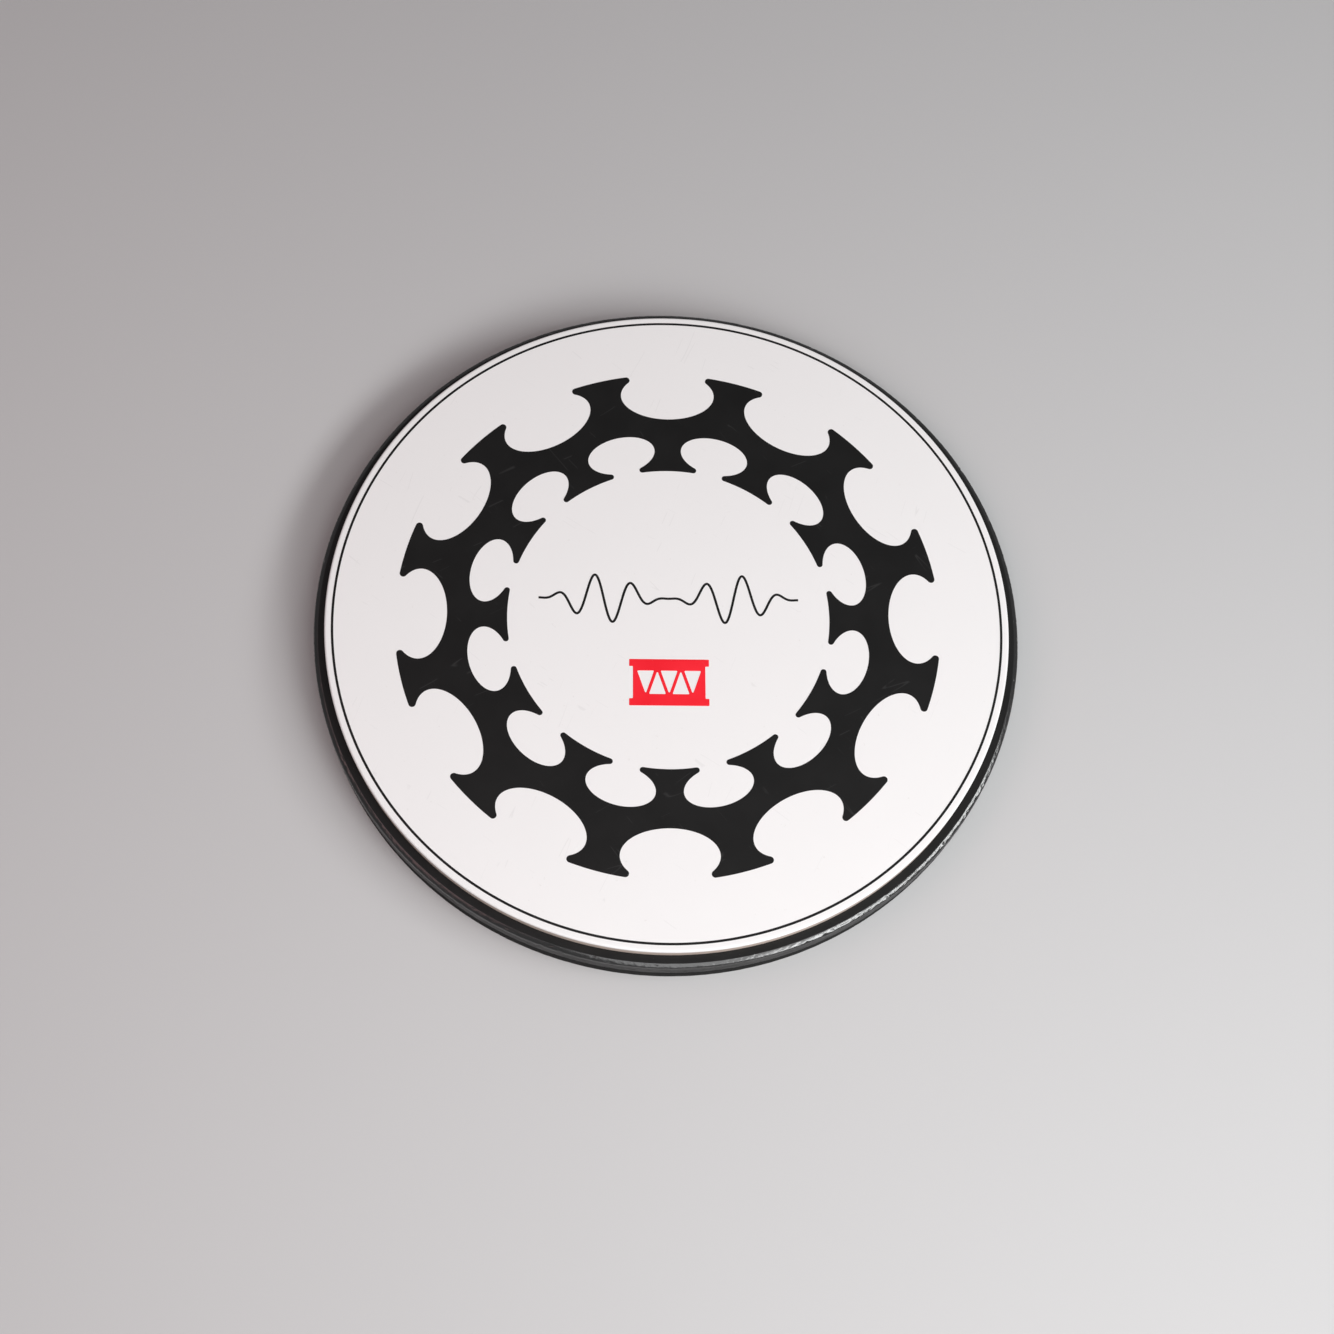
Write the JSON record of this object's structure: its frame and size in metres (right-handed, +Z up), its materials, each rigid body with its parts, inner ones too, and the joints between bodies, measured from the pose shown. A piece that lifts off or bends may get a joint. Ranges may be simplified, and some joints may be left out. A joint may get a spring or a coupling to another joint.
{
  "type": "practice pad",
  "caption": "Round flat drummer's practice pad: white printed playing face on a rubber layer, black painted board with a narrow ledge, and a soft non-slip underside.",
  "frame": {"origin": "centre of the underside, where the pad rests on a table or on a stand's arms", "axes": "+Z up through the playing face, +Y towards the top of the print, +X to the print's right"},
  "size_m": [0.3048, 0.3048, 0.0231],
  "materials": {
    "underlay": "matt fine-celled black foam rubber",
    "adhesive": "thin transfer adhesive sheet",
    "painted_board": "fibreboard, black paint, smooth ledge and slightly rough semi-gloss edge",
    "white_rubber": "warm white smooth gum rubber",
    "white_film": "satin-gloss white film",
    "black_ink": "satin screen-printed black ink",
    "red_ink": "satin screen-printed red ink"
  },
  "bodies": {
    "root": {"non_slip_underlay": "underlay", "underlay_adhesive": "adhesive", "base_board": "painted_board", "rubber_adhesive": "adhesive", "rubber_layer": "white_rubber", "film_adhesive": "adhesive", "printed_film": "white_film", "ink_border_line": "black_ink", "ink_notched_ring": "black_ink", "ink_pen_wave": "black_ink", "ink_drum_emblem": "red_ink"}
  },
  "joints": []
}
